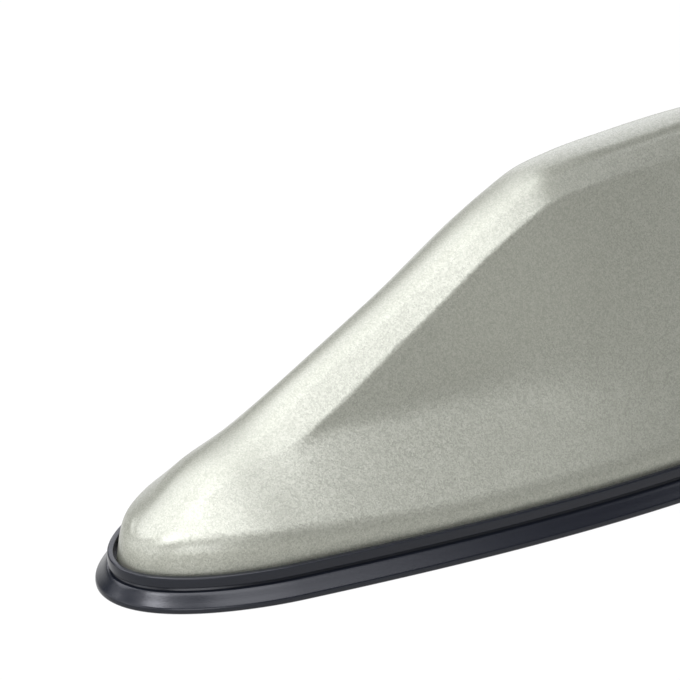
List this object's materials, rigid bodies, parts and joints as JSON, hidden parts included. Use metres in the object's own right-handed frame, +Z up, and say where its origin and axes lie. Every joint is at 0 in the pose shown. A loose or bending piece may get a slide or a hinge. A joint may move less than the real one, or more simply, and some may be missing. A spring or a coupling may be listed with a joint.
{
  "type": "shark fin aerial",
  "caption": "Roof aerial in a swept fin cover over a rubber base gasket, with its boards, patch, coil and mounting stud inside.",
  "frame": {"origin": "the mounting stud's axis, in the roof plane that the gasket's underside rests on", "axes": "+Z up from the roof, -X towards the nose at the front of the car, +X towards the tail, +Y to the right of the car"},
  "size_m": [0.1706, 0.0756, 0.0787],
  "materials": {
    "cover_paint": "moulded shell in fine metallic paint, soft gloss",
    "black_rubber": "satin",
    "seal_rubber": "matt",
    "cast_metal": "as cast, lightly blasted",
    "zinc_steel": "zinc plated",
    "spring_steel": "bright rolled",
    "screw_steel": "zinc plated",
    "board_green": "solder mask over glass laminate",
    "tinned_sheet": "tinned",
    "brass_sheet": "rolled",
    "copper_wire": "enamelled copper",
    "former_plastic": "moulded",
    "patch_ceramic": "fired ceramic",
    "silver_film": "printed silver",
    "gold_contact": "gold flashed",
    "jack_black": "moulded",
    "jack_blue": "moulded",
    "chip_black": "moulded"
  },
  "bodies": {
    "root": {"fin_cover": "cover_paint", "base_gasket": "black_rubber", "base_plate": "cast_metal", "cover_seal": "seal_rubber", "roof_seal": "seal_rubber", "mounting_stud": "zinc_steel", "retainer_plate": "zinc_steel", "roof_nut": "zinc_steel", "hold_clips": "spring_steel", "cover_screws": "screw_steel", "main_board": "board_green", "board_screws": "screw_steel", "fin_board": "board_green", "fin_board_brackets": "tinned_sheet", "top_plate": "brass_sheet", "coil_wire": "copper_wire", "coil_former": "former_plastic", "satellite_patch": "patch_ceramic", "patch_electrode": "silver_film", "patch_feed_pin": "gold_contact", "shield_can": "tinned_sheet", "phone_antenna": "brass_sheet", "radio_jack": "jack_black", "satellite_jack": "jack_blue", "jack_pins": "gold_contact", "amplifier_chip": "chip_black"}
  },
  "joints": []
}
